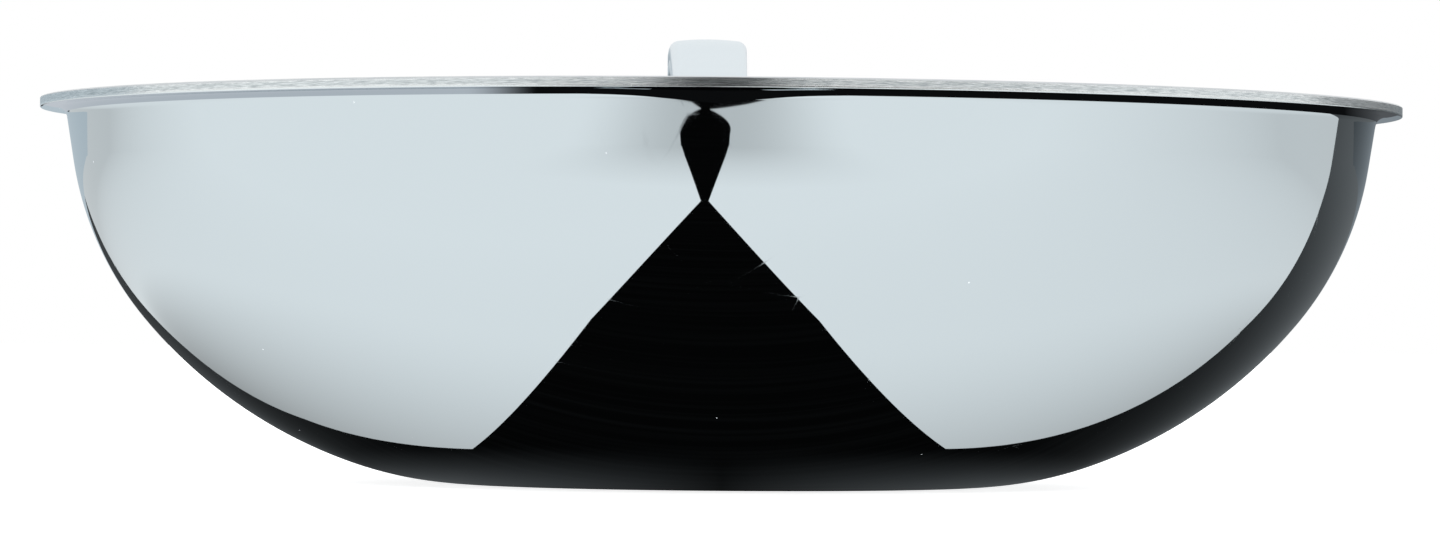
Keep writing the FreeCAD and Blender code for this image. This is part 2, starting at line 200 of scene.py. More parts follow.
def finished(bm, name, material, sharp_angle=35):
    """Makes the object: smooth faces, with edges sharper than the angle kept sharp."""
    for face in bm.faces:
        face.smooth = True
    for edge in bm.edges:
        if len(edge.link_faces) == 2 and edge.calc_face_angle() > math.radians(sharp_angle):
            edge.smooth = False
    mesh = bpy.data.meshes.new(name)
    bm.to_mesh(mesh)
    bm.free()
    mesh.materials.append(material)
    piece = bpy.data.objects.new(name, mesh)
    bpy.context.scene.collection.objects.link(piece)
    return piece


def grains(tree, place, size, detail=3.0, distortion=0.0):
    """A cloudy pattern from 0 to 1, whose grains have this size in mm along X, Y and Z."""
    scaled = add(tree, "ShaderNodeMapping", {
        "Vector": place, "Scale": tuple(1 / (length * mm) for length in size),
    })
    return add(tree, "ShaderNodeTexNoise", {
        "Vector": scaled, "Scale": 1.0, "Detail": detail, "Distortion": distortion,
    }).outputs["Fac"]


def from_bowl_axis(tree, place):
    """The distance from the bowl's axis."""
    level = add(tree, "ShaderNodeVectorMath", (place, (1, 1, 0)), operation="MULTIPLY")
    return add(tree, "ShaderNodeVectorMath", (level,), operation="LENGTH").outputs["Value"]


def on_cut_edge(tree, place):
    """1 on the sheared edge of the rim, 0 elsewhere."""
    reach = from_bowl_axis(tree, place)
    return add(tree, "ShaderNodeMath", (reach, rim_radius - 0.06 * mm), operation="GREATER_THAN")


def sheared_colour(tree, place):
    """The cut edge's streaks, burnished and dull, about 3 mm long and 0.2 mm high."""
    speckle = grains(tree, place, (2.6, 2.6, 0.18), detail=5.0)
    return add(tree, "ShaderNodeMix", {
        0: add(tree, "ShaderNodeMapRange", (speckle, 0.3, 0.62, 0.0, 1.0)),
        6: srgb("#c2c7c9"), 7: srgb("#f8fafa"),
    }, data_type="RGBA").outputs[2]


def mirror_polished_stainless():
    """Ferritic stainless buffed to a mirror. It gives crisp reflections with a faint haze, a
    few hairlines from wiping, and specks of dust that show where it mirrors something dark."""
    material, tree, output = new_material("mirror_polished_stainless")
    place = add(tree, "ShaderNodeTexCoord").outputs["Object"]
    # hairlines: parts of the borders of drawn-out cells, 0.1 to 0.4 mm wide
    cell_size = (28.57 * mm, 8.333 * mm, 90.91 * mm)
    drawn_out = add(tree, "ShaderNodeMapping", {
        "Vector": place, "Rotation": (0.5, 0.3, 0.9), "Scale": tuple(1 / size for size in cell_size),
    })
    cells = add(tree, "ShaderNodeTexVoronoi", {
        "Vector": drawn_out, "Scale": 1.0,
    }, feature="DISTANCE_TO_EDGE")
    border = add(tree, "ShaderNodeMapRange", (cells, 0.002, 0.007, 1.0, 0.0))
    patches = grains(tree, place, (12, 12, 12))
    patches = add(tree, "ShaderNodeMapRange", (patches, 0.5, 0.62, 0.0, 1.0))
    hairline = add(tree, "ShaderNodeMath", (border, patches), operation="MULTIPLY")
    clouds = grains(tree, place, (25, 25, 25))
    haze = add(tree, "ShaderNodeMapRange", (clouds, 0.3, 0.7, 0.012, 0.026))
    # dust: a speck in some of the cells
    speck_radius, dust_spacing = 0.2 * mm, 9.091 * mm
    dust = add(tree, "ShaderNodeTexVoronoi", {
        "Vector": place, "Scale": 1 / dust_spacing,
    }, feature="F1")
    some = add(tree, "ShaderNodeMath", (dust.outputs["Color"], 0.62), operation="GREATER_THAN")
    small = add(tree, "ShaderNodeMath", (
        dust.outputs["Distance"], speck_radius / dust_spacing,
    ), operation="LESS_THAN")
    speck = add(tree, "ShaderNodeMath", (small, some), operation="MULTIPLY")
    edge = on_cut_edge(tree, place)
    rough = haze
    for mark, roughness in ((hairline, 0.1), (speck, 0.8), (edge, 0.2)):
        rough = add(tree, "ShaderNodeMath", (mark, roughness, rough), operation="MULTIPLY_ADD")
    colour = add(tree, "ShaderNodeMix", {
        0: edge, 6: srgb("#dde3e6"), 7: srgb("#f2f5f5"),
    }, data_type="RGBA").outputs[2]
    bare = add(tree, "ShaderNodeMath", (1.0, speck), operation="SUBTRACT")
    shader = add(tree, "ShaderNodeBsdfPrincipled", {
        "Metallic": bare, "Roughness": rough, "Base Color": colour,
    })
    tree.links.new(shader.outputs[0], output.inputs["Surface"])
    return material


def turned_stainless():
    """The inner skin, finished with a belt while it spins: fine circles and a soft sheen."""
    material, tree, output = new_material("turned_stainless")
    place = add(tree, "ShaderNodeTexCoord").outputs["Object"]
    # the belt leaves circles along the wall, where height and radius both grow
    circle_pitch = 0.5 * mm
    height = add(tree, "ShaderNodeSeparateXYZ", (place,)).outputs["Z"]
    along = add(tree, "ShaderNodeMath", (from_bowl_axis(tree, place), height), operation="ADD")
    waver = grains(tree, place, (30, 30, 30), detail=2.0)
    along = add(tree, "ShaderNodeMath", (waver, 3 * mm, along), operation="MULTIPLY_ADD")
    phase = add(tree, "ShaderNodeMath", (along, 2 * math.pi / circle_pitch), operation="MULTIPLY")
    circles = add(tree, "ShaderNodeMath", (phase,), operation="SINE")
    circles = add(tree, "ShaderNodeMapRange", (circles, -1.0, 1.0, 0.0, 0.4))
    fine = grains(tree, place, (0.4, 0.4, 0.4))
    lines = add(tree, "ShaderNodeMath", (fine, 0.6, circles), operation="MULTIPLY_ADD")
    smoother_edge = add(tree, "ShaderNodeMapRange", (on_cut_edge(tree, place), 0, 1, 1, 0.7))
    rough = add(tree, "ShaderNodeMapRange", (lines, 0.2, 0.8, 0.28, 0.36))
    rough = add(tree, "ShaderNodeMath", (rough, smoother_edge), operation="MULTIPLY")
    colour = add(tree, "ShaderNodeMix", {
        0: add(tree, "ShaderNodeMapRange", (lines, 0.25, 0.75, 0.0, 1.0)),
        6: srgb("#cbd0d3"), 7: srgb("#d8dcde"),
    }, data_type="RGBA").outputs[2]
    around = add(tree, "ShaderNodeTangent", direction_type="RADIAL", axis="Z")
    relief = add(tree, "ShaderNodeBump", {"Height": lines, "Strength": 0.1, "Distance": 0.02 * mm})
    shader = add(tree, "ShaderNodeBsdfPrincipled", {
        "Metallic": 1.0, "Anisotropic": 0.55, "Roughness": rough, "Base Color": colour,
        "Tangent": around, "Normal": relief,
    })
    tree.links.new(shader.outputs[0], output.inputs["Surface"])
    return material


def sheared_alloy(name, code):
    """Aluminium alloy, seen only where the rim is trimmed: streaked and speckled."""
    material, tree, output = new_material(name)
    place = add(tree, "ShaderNodeTexCoord").outputs["Object"]
    tint = add(tree, "ShaderNodeMix", {
        0: 1.0, 6: sheared_colour(tree, place), 7: srgb(code),
    }, data_type="RGBA", blend_type="MULTIPLY").outputs[2]
    pits = add(tree, "ShaderNodeBump", {
        "Height": grains(tree, place, (0.5, 0.5, 0.25)), "Strength": 0.12, "Distance": 0.05 * mm,
    })
    shader = add(tree, "ShaderNodeBsdfPrincipled", {
        "Metallic": 1.0, "Roughness": 0.24, "Base Color": tint, "Normal": pits,
    })
    tree.links.new(shader.outputs[0], output.inputs["Surface"])
    return material


def satin_stainless(name, code, roughness, grain, relief=0.02, strength=0.2):
    """Dull stainless. The grain is the size of its marks and the relief their depth, in mm."""
    material, tree, output = new_material(name)
    place = add(tree, "ShaderNodeTexCoord").outputs["Object"]
    marks = grains(tree, place, grain, detail=4.0)
    rough = add(tree, "ShaderNodeMapRange", (marks, 0.3, 0.7, roughness * 0.75, roughness * 1.25))
    bump = add(tree, "ShaderNodeBump", {
        "Height": marks, "Strength": strength, "Distance": relief * mm,
    })
    shader = add(tree, "ShaderNodeBsdfPrincipled", {
        "Metallic": 1.0, "Base Color": srgb(code), "Roughness": rough, "Normal": bump,
    })
    tree.links.new(shader.outputs[0], output.inputs["Surface"])
    return material


bonding_alloy = sheared_alloy("sheared_bonding_alloy", "#fafcfc")
ply_finishes = {        # material and slot
    "outer_ply": (mirror_polished_stainless(), "mirror_steel"),
    "outer_alloy_ply": (bonding_alloy, "alloy"),
    "core_ply": (sheared_alloy("sheared_core_alloy", "#eef2f3"), "core_alloy"),
    "inner_alloy_ply": (bonding_alloy, "alloy"),
    "inner_ply": (turned_stainless(), "satin_steel"),
}
outer_depth = 0.0
for node, (material, slot) in ply_finishes.items():
    inner_depth = outer_depth + ply_thickness[node]
    bm = spun_shell(wall_points(outer_depth) + list(reversed(wall_points(inner_depth))))
    outer_depth = inner_depth
    if node in ("outer_ply", "inner_ply"):
        edge_height = flange_underside if node == "outer_ply" else bowl_height
        outermost = [v for v in bm.verts if v.co.xy.length > rim_radius - tolerance]
        corner = [v for v in outermost if abs(v.co.z - edge_height) < tolerance]
        corner_edges = {e for v in corner for e in v.link_edges if e.other_vert(v) in set(corner)}
        bmesh.ops.bevel(
            bm, geom=list(corner_edges), offset=edge_break, affect="EDGES", segments=4,
            profile=0.5, material=-1,
        )
    skin = finished(bm, "bowl_" + node, material)
    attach(skin, "root")
    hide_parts(node)

# ---------------------------------------------------------------- rivets
# Three solid stainless rivets hold the handle's foot to the wall. They are set cold: a shallow
# polished dome inside the bowl, a smaller one on the foot, and the shank filling its hole.

foot_height = bowl_height - 25 * mm
saddle_thickness = 2.2 * mm
rivet_radius = 2.5 * mm
inner_head = (5.0 * mm, 1.6 * mm)       # radius, height
outer_head = (4.2 * mm, 1.5 * mm)
head_bedding = 0.15 * mm                # how far the seats sink, so that no gap shows


def wall_at(height):
    """(radius, slope) of the wall's outer face at this height."""
    outline = wall_points(0.0)
    for (r, z, slope), (next_r, next_z, next_slope) in zip(outline, outline[1:]):
        if z <= height <= next_z and next_z > z:
            share = (height - z) / (next_z - z)
            return r + (next_r - r) * share, slope + (next_slope - slope) * share
    raise ValueError("no wall at this height")


def dome_points(radius, height, seat, sign):
    """The outline of a head, from its middle to its rim and under it to the shank."""
    ball = (radius ** 2 + height ** 2) / (2 * height)
    points = []
    for step in range(9):
        r = radius * math.sin(math.pi / 2 * step / 8)
        lift = height - ball + math.sqrt(ball ** 2 - r ** 2)
        points.append((r, seat + sign * lift))
    points.append((radius, seat - sign * head_bedding))
    points.append((rivet_radius, seat - sign * head_bedding))
    return points


def turned(points, segments=48, closed=True):
    """A solid of revolution about Z, from an outline that starts and ends on the axis or
    that closes on itself. Where it isn't closed, it is left open at its first point."""
    bm = bmesh.new()
    verts = [bm.verts.new((r, 0, z)) for r, z in points]
    pairs = list(zip(verts, verts[1:]))
    if closed and points[0][0] > 0:
        pairs.append((verts[-1], verts[0]))
    edges = [bm.edges.new(pair) for pair in pairs]
    bmesh.ops.spin(
        bm, geom=verts + edges, cent=(0, 0, 0), axis=(0, 0, 1), angle=2 * math.pi,
        steps=segments, use_merge=True, use_duplicate=False,
    )
    bmesh.ops.remove_doubles(bm, verts=bm.verts, dist=merge_distance)
    bmesh.ops.recalc_face_normals(bm, faces=bm.faces)
    return bm


def standing(direction, point):
    """The transform that stands a turned piece up along a direction at a point."""
    return Matrix.Translation(point) @ direction.to_track_quat("Z", "Y").to_matrix().to_4x4()


# the domes are polished, with faint marks of the setting tool
rivet_steel = satin_stainless("cold_set_rivet_steel", "#dfe3e5", 0.09, (0.8, 0.8, 0.8), 0.01, 0.15)
rivet_places = ((-19 * mm, 5 * mm), (19 * mm, 5 * mm), (0.0, -13.5 * mm))   # sideways, up
for rivet_number, (offset, rise) in enumerate(rivet_places, start=1):
    radius, slope = wall_at(foot_height + rise)
    turn = math.asin(offset / radius)
    seat = Vector((radius * math.sin(turn), radius * math.cos(turn), foot_height + rise))
    out = Vector((sine(slope) * math.sin(turn), sine(slope) * math.cos(turn), -cosine(slope)))
    inside = dome_points(*inner_head, -sheet, -1)
    outside = dome_points(*outer_head, saddle_thickness, 1)
    bm = turned(inside + list(reversed(outside)))
    bmesh.ops.transform(bm, matrix=standing(out, seat), verts=bm.verts)
    rivet = finished(bm, "rivet_%d" % rivet_number, rivet_steel)
    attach(rivet, "root")
    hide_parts("rivets")

# ---------------------------------------------------------------- foot of the handle
# One investment casting of stainless steel: a saddle formed to the wall, a neck that leaves it
# upwards, and a flat tongue that the handle's shells close over. Tumbled to a soft sheen.

neck_rise = 2.5 * mm
neck_length = 22 * mm
neck_slope = 28.0
saddle_half_width, saddle_half_height = 26 * mm, 19 * mm
saddle_corner = 9 * mm
formed_reach = 7 * mm                   # how far out from the saddle the forming fades
saddle_radius, saddle_slope = wall_at(foot_height)
saddle_middle = Vector((0, saddle_radius, foot_height))
saddle_out = Vector((0, sine(saddle_slope), -cosine(saddle_slope)))
saddle_up = Vector((0, cosine(saddle_slope), sine(saddle_slope)))

# The middle line of the neck and the handle: (length, slope where it begins, where it ends)
line_start = Vector((0, wall_at(foot_height + neck_rise)[0], foot_height + neck_rise))
tip_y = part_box("upper_shell")[1].y
grip_slope, tip_slope = 12.0, -3.0
neck_straight, tip_straight = 26 * mm, 20 * mm
neck_bend_radius, crest_radius = 110 * mm, 170 * mm
neck = (neck_straight, neck_slope, neck_slope)
neck_bend = (neck_bend_radius * math.radians(neck_slope - grip_slope), neck_slope, grip_slope)
crest = (crest_radius * math.radians(grip_slope - tip_slope), grip_slope, tip_slope)
tip = (tip_straight, tip_slope, tip_slope)


def level_run(length, begin, end):
    """How far a stretch of the line runs along +Y."""
    if begin == end:
        return length * cosine(begin)
    return length / math.radians(begin - end) * (sine(begin) - sine(end))


grip_level = tip_y - line_start.y - sum(level_run(*part) for part in (neck, neck_bend, crest, tip))
grip = (grip_level / cosine(grip_slope), grip_slope, grip_slope)
stretches = (neck, neck_bend, grip, crest, tip)
line_length = sum(part[0] for part in stretches)


def on_line(distance):
    """(point, direction square to the line) this far from the wall."""
    point, left = line_start.copy(), distance
    for number, (length, begin, end) in enumerate(stretches):
        last = left <= length or number == len(stretches) - 1
        run = left if last else length
        slope = begin + (end - begin) * run / length
        half_turn = math.radians(begin - slope) / 2
        chord = run if abs(half_turn) < 1e-6 else run * math.sin(half_turn) / half_turn
        middle = (begin + slope) / 2
        point += Vector((0, cosine(middle), sine(middle))) * chord
        left -= run
        if last:
            break
    return point, Vector((0, -sine(slope), cosine(slope)))


def in_saddle(direction):
    """A direction, as (sideways, up the wall, out from the wall)."""
    return Vector((direction.x, direction.dot(saddle_up), direction.dot(saddle_out)))


def formed(point):
    """The same point in the row's frame. Near the wall, the saddle follows the wall's curves."""
    sideways, up, out = point
    across_radius = saddle_radius / sine(saddle_slope)
    drop = across_radius - math.sqrt(across_radius ** 2 - sideways ** 2)
    drop += shoulder_radius - math.sqrt(shoulder_radius ** 2 - up ** 2)
    fade = max(0.0, min(1.0, 1 - (out - saddle_thickness) / formed_reach))
    lowered = out - drop * fade * fade * (3 - 2 * fade)
    return saddle_middle + Vector((sideways, 0, 0)) + saddle_up * up + saddle_out * lowered


def with_modifiers(bm, name, *modifiers):
    """The mesh after modifiers, each given as (kind, settings), as a new bmesh."""
    mesh = bpy.data.meshes.new(name + "_cage")
    bm.to_mesh(mesh)
    bm.free()
    holder = bpy.data.objects.new(name + "_cage", mesh)
    bpy.context.scene.collection.objects.link(holder)
    for kind, settings in modifiers:
        modifier = holder.modifiers.new(kind, kind)
        for key, value in settings.items():
            setattr(modifier, key, value)
    bpy.context.view_layer.update()
    shaped = bpy.data.meshes.new_from_object(
        holder.evaluated_get(bpy.context.evaluated_depsgraph_get())
    )
    result = bmesh.new()
    result.from_mesh(shaped)
    bpy.data.objects.remove(holder)
    bpy.data.meshes.remove(mesh)
    bpy.data.meshes.remove(shaped)
    return result


def cut_at(bm, axis, places):
    """Cuts every face of the mesh at these places along an axis."""
    for place in places:
        point, normal = Vector((0, 0, 0)), Vector((0, 0, 0))
        point[axis] = place
        normal[axis] = 1
        whole = bm.verts[:] + bm.edges[:] + bm.faces[:]
        bmesh.ops.bisect_plane(bm, geom=whole, plane_co=point, plane_no=normal)


neck_root_half = 12.5 * mm
neck_low, neck_high = -6 * mm, 10 * mm
collar_length = 3 * mm
tongue_length = 36 * mm

# the plate, with its corners pulled in to rounds
bm = bmesh.new()
bmesh.ops.create_cube(bm, size=2, matrix=Matrix.Diagonal((
    saddle_half_width, saddle_half_height, saddle_thickness / 2, 1
)))
bmesh.ops.translate(bm, vec=(0, 0, saddle_thickness / 2), verts=bm.verts)
corner_line = saddle_half_width - saddle_corner
cut_at(bm, 0, (-corner_line, -neck_root_half, 0.0, neck_root_half, corner_line))
cut_at(bm, 1, (-10 * mm, neck_low, 2 * mm, neck_high))
pull_in = saddle_corner * (1 - cosine(45))
for vert in bm.verts:
    at_side = abs(vert.co.x) > saddle_half_width - 0.1 * mm
    at_end = abs(vert.co.y) > saddle_half_height - 0.1 * mm
    if at_side and at_end:
        vert.co.x -= math.copysign(pull_in, vert.co.x)
        vert.co.y -= math.copysign(pull_in, vert.co.y)
bm.normal_update()
crease = bm.edges.layers.float.new("crease_edge")
for edge in bm.edges:
    if edge.calc_face_angle() > math.radians(60):
        on_back = max(vert.co.z for vert in edge.verts) < 0.1 * mm
        edge[crease] = 1.0 if on_back else 0.75

# the neck and the tongue are drawn out of it in rings: (distance, width, height, crease)
last_ring = (
    Vector((0, (neck_low + neck_high) / 2, saddle_thickness)), Vector((0, 1, 0)),
    neck_root_half, (neck_high - neck_low) / 2,
)
root = [
    face for face in bm.faces
    if face.normal.z > 0.9
    and abs(face.calc_center_median().x) < neck_root_half
    and neck_low < face.calc_center_median().y < neck_high
]
rings = [
    (6 * mm, 22 * mm, 14 * mm, 0.0), (9.5 * mm, 19.5 * mm, 12.2 * mm, 0.0),
    (15 * mm, 18 * mm, 11.2 * mm, 0.0), (21 * mm, 17.4 * mm, 10.9 * mm, 0.0),
    (neck_length, 17.4 * mm, 10.9 * mm, 1.0), (neck_length, 13 * mm, 9.4 * mm, 1.0),
]
tongue_steps = 5
for step in range(1, tongue_steps + 1):
    reach = neck_length + (collar_length + tongue_length) * step / tongue_steps
    rings.append((reach, 13 * mm, 9.4 * mm, 1.0 if step == tongue_steps else 0.0))
for distance, width, height, ring_crease in rings:
    drawn = bmesh.ops.extrude_face_region(bm, geom=root)
    bmesh.ops.delete(bm, geom=root, context="FACES")
    root = [item for item in drawn["geom"] if isinstance(item, bmesh.types.BMFace)]
    centre, over, half_width, half_height = last_ring
    point, square = on_line(distance)
    new_centre, new_over = in_saddle(point - saddle_middle), in_saddle(square)
    for vert in {vert for face in root for vert in face.verts}:
        away = vert.co - centre
        sideways, up = away.x / half_width, away.dot(over) / half_height
        vert.co = new_centre + Vector((sideways * width / 2, 0, 0)) + new_over * (up * height / 2)
    for edge in {edge for face in root for edge in face.edges}:
        inside = all(face in root for face in edge.link_faces)
        if not inside:
            edge[crease] = ring_crease
    last_ring = (new_centre, new_over, width / 2, height / 2)
loose = [vert for vert in bm.verts if not vert.link_faces]
bmesh.ops.delete(bm, geom=loose, context="VERTS")
bmesh.ops.recalc_face_normals(bm, faces=bm.faces)
smoothing = {"levels": 4, "render_levels": 4}
bm = with_modifiers(bm, "handle_foot", ("SUBSURF", smoothing))
for vert in bm.verts:
    vert.co = formed(vert.co)
# tumbled with fine stones, which leaves a soft, faintly pebbled sheen
cast_steel = satin_stainless("tumbled_cast_stainless", "#d6dadc", 0.34, (0.6, 0.6, 0.6), 0.012, 0.2)
foot = finished(bm, "handle_foot_casting", cast_steel, sharp_angle=60)
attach(foot, "root")
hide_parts("handle_foot")

# ---------------------------------------------------------------- collar
# A turned and flattened stainless ring between the neck and the shells. It hides the open ends
# of the shells and keeps the flame off them. Pressed over the tongue, polished.

handle_half = 6 * mm
front_half_width, end_half_width = 9 * mm, 11.5 * mm
edge_radius = 2.6 * mm
collar_stand, collar_wall, collar_rim_radius = 0.5 * mm, 2.6 * mm, 0.5 * mm
collar_half_width, collar_half = front_half_width + collar_stand, handle_half + collar_stand


def laid_on_line(bm, start=0.0):
    """Moves a piece made with Y along the handle's line and Z square to it onto that line."""
    for vert in bm.verts:
        point, square = on_line(start + vert.co.y)
        vert.co = point + Vector((vert.co.x, 0, 0)) + square * vert.co.z


bm = bmesh.new()
bmesh.ops.create_cube(bm, size=2, matrix=Matrix.Diagonal((
    collar_half_width, collar_length / 2, collar_half, 1
)))
bmesh.ops.translate(bm, vec=(0, collar_length / 2, 0), verts=bm.verts)
long_edges = [e for e in bm.edges if abs(e.verts[0].co.y - e.verts[1].co.y) > collar_length / 2]
bmesh.ops.bevel(
    bm, geom=long_edges, offset=edge_radius + collar_stand, affect="EDGES", segments=8,
    profile=0.5, material=-1,
)
ends = [face for face in bm.faces if abs(face.normal.y) > 0.9]
bmesh.ops.inset_individual(bm, faces=ends, thickness=collar_wall, use_even_offset=True)
bmesh.ops.bridge_loops(bm, edges=[edge for face in ends for edge in face.edges])
bmesh.ops.delete(bm, geom=ends, context="FACES_ONLY")
bmesh.ops.recalc_face_normals(bm, faces=bm.faces)
rims = [
    edge for edge in bm.edges
    if len(edge.link_faces) == 2 and edge.calc_face_angle() > math.radians(60)
    and abs(edge.verts[0].co.y - edge.verts[1].co.y) < 0.1 * mm
    and max(abs(v.co.x) / collar_half_width + abs(v.co.z) / collar_half for v in edge.verts) > 0.95
]
bmesh.ops.bevel(
    bm, geom=rims, offset=collar_rim_radius, affect="EDGES", segments=4, profile=0.5, material=-1
)
laid_on_line(bm, neck_length)
collar = finished(bm, "handle_collar_ring", rivet_steel, sharp_angle=50)
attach(collar, "root")
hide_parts("handle_collar")

# ---------------------------------------------------------------- handle shells
# Two shells pressed from 1.2 mm stainless sheet, upper and lower, laser welded along the middle
# and blasted with glass beads. The weld shows as a hairline groove.

shell_start = neck_length + collar_length
shell_sheet = 1.2 * mm
shell_crown = 0.8 * mm
tip_corner = 9 * mm
seam_groove, seam_band = 0.12 * mm, 0.25 * mm      # depth, and half its width
shell_length = line_length - shell_start


def half_width_at(y):
    """Half the handle's width, this far from the collar."""
    return front_half_width + (end_half_width - front_half_width) * y / shell_length


# what passes through the shells: the screws of the tongue and the tube of the eye
screw_radius, screw_head_radius = 2.0 * mm, 3.6 * mm
screw_head_depth, screw_length = 1.6 * mm, 8.0 * mm
screw_distances = [shell_start + 10 * mm + 16 * mm * number for number in (0, 1)]
eye_bore, eye_wall = 4.0 * mm, 1.0 * mm
eye_distance = line_length - 14 * mm


def hole_cutter(distance, height, low_radius, high_radius, length, rise):
    """A cone or cylinder to cut a hole with, this far along the handle's line and this high
    above it. Its middle stands at the rise above that place."""
    point, square = on_line(distance)
    bm = bmesh.new()
    bmesh.ops.create_cone(
        bm, cap_ends=True, segments=64, radius1=low_radius, radius2=high_radius, depth=length
    )
    bmesh.ops.translate(bm, vec=(0, 0, rise), verts=bm.verts)
    place = point + square * height
    bmesh.ops.transform(bm, matrix=standing(square, place), verts=bm.verts)
    mesh = bpy.data.meshes.new("cutter")
    bm.to_mesh(mesh)
    bm.free()
    cutter = bpy.data.objects.new("cutter", mesh)
    bpy.context.scene.collection.objects.link(cutter)
    return cutter


def pressed_shell(sign):
    """One shell: the upper one where sign is 1, the lower one where it is -1."""
    bm = bmesh.new()
    bmesh.ops.create_cube(bm, size=2, matrix=Matrix.Diagonal((
        end_half_width, shell_length / 2, handle_half / 2, 1
    )))
    bmesh.ops.translate(bm, vec=(0, shell_length / 2, handle_half / 2), verts=bm.verts)
    upright_at_tip = [
        edge for edge in bm.edges
        if all(vert.co.y > shell_length - 0.1 * mm for vert in edge.verts)
        and abs(edge.verts[0].co.z - edge.verts[1].co.z) > handle_half / 2
    ]
    bmesh.ops.bevel(
        bm, geom=upright_at_tip, offset=tip_corner, affect="EDGES", segments=14, profile=0.5,
        material=-1,
    )
    bottom_and_front = [face for face in bm.faces if face.normal.z < -0.9 or face.normal.y < -0.9]
    bmesh.ops.delete(bm, geom=bottom_and_front, context="FACES")
    top_edges = [
        edge for edge in bm.edges
        if len(edge.link_faces) == 2 and all(vert.co.z > handle_half * 0.9 for vert in edge.verts)
    ]
    bmesh.ops.bevel(
        bm, geom=top_edges, offset=edge_radius, affect="EDGES", segments=7, profile=0.5,
        material=-1,
    )
    lines_across, bends = 10, 70
    flat_half = end_half_width - edge_radius
    cut_at(bm, 0, [flat_half * (2 * n / lines_across - 1) for n in range(1, lines_across)])
    cut_at(bm, 1, [shell_length * n / bends for n in range(1, bends)])
    cut_at(bm, 2, (seam_band,))
    for vert in bm.verts:
        share = vert.co.x / end_half_width
        vert.co.z -= shell_crown * share * share * (vert.co.z / handle_half)
        vert.co.x *= half_width_at(vert.co.y) / end_half_width
        if vert.co.z < tolerance:
            away = Vector((vert.co.x, max(0.0, vert.co.y - (shell_length - tip_corner)), 0))
            if away.length > 0:
                vert.co -= away.normalized() * seam_groove
        vert.co.z *= sign
    bmesh.ops.recalc_face_normals(bm, faces=bm.faces)
    if sum(face.normal.z * face.calc_area() for face in bm.faces) * sign < 0:
        bmesh.ops.reverse_faces(bm, faces=bm.faces)
    laid_on_line(bm, shell_start)
    thickness = {"thickness": shell_sheet, "offset": -1, "use_even_offset": True}
    eye_hole = eye_bore + eye_wall / 2
    holes = [hole_cutter(eye_distance, 0.0, eye_hole, eye_hole, 3 * handle_half, 0.0)]
    if sign < 0:
        # the countersinks, whose cones start a little outside the shell
        over = 0.3 * mm
        slope = (screw_head_radius - screw_radius) / screw_head_depth
        for distance in screw_distances:
            holes.append(hole_cutter(
                distance, -handle_half, screw_head_radius + slope * over, screw_radius,
                screw_head_depth + over, (screw_head_depth - over) / 2,
            ))
    modifiers = [("SOLIDIFY", thickness)]
    modifiers += [("BOOLEAN", {"object": hole, "solver": "EXACT"}) for hole in holes]
    shell = with_modifiers(bm, "shell", *modifiers)
    for hole in holes:
        bpy.data.objects.remove(hole)
    return shell


# blasted with glass beads: an even, silky grain of a third of a millimetre
blasted = satin_stainless("bead_blasted_stainless", "#dbe5ea", 0.36, (0.35, 0.35, 0.35), 0.01, 0.2)
for name, node, sign in (
    ("handle_shell_upper", "upper_shell", 1), ("handle_shell_lower", "lower_shell", -1)
):
    shell = finished(pressed_shell(sign), name, blasted)
    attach(shell, "root")
    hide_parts(node)

# ---------------------------------------------------------------- handle screws
# Two countersunk stainless screws hold the lower shell to the tongue from below. Their heads
# have a hexagonal key hole and sit flush in the shell.

key_radius, key_depth = 1.2 * mm, 1.2 * mm
screw_chamfer = 0.4 * mm
screw_proud = 0.04 * mm                 # so that the head and the shell never share a plane
screw_steel = satin_stainless("machined_screw_stainless", "#b9bdc0", 0.22, (0.5, 0.5, 0.5))
for number, distance in enumerate(screw_distances):
    point, square = on_line(distance)
    seat = point - square * (handle_half + screw_proud)
    bm = turned([
        (screw_head_radius - 0.2 * mm, 0.0), (screw_head_radius - 0.05 * mm, 0.15 * mm),
        (screw_radius, screw_head_depth), (screw_radius, screw_length - screw_chamfer),
        (screw_radius - screw_chamfer, screw_length), (0.0, screw_length),
    ], closed=False)
    head_edges = [edge for edge in bm.edges if edge.is_boundary]
    hexagon = bmesh.ops.create_circle(bm, cap_ends=False, segments=6, radius=key_radius)
    key_edges = list({edge for vert in hexagon["verts"] for edge in vert.link_edges})
    bmesh.ops.bridge_loops(bm, edges=head_edges + key_edges)
    sides = bmesh.ops.extrude_edge_only(bm, edges=key_edges)
    bottom = [item for item in sides["geom"] if isinstance(item, bmesh.types.BMVert)]
    bmesh.ops.translate(bm, vec=(0, 0, key_depth), verts=bottom)
    bmesh.ops.contextual_create(bm, geom=bottom)
    bmesh.ops.recalc_face_normals(bm, faces=bm.faces)
    bmesh.ops.transform(bm, matrix=standing(square, seat), verts=bm.verts)
    screw = finished(bm, "handle_screw_%d" % (number + 1), screw_steel)
    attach(screw, "root")
    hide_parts("handle_screws")

# ---------------------------------------------------------------- hanging eye
# A short stainless tube through both shells near the tip, with its ends rolled over to lips.
# It closes the hollow handle round the hole that the pan hangs by. Polished.

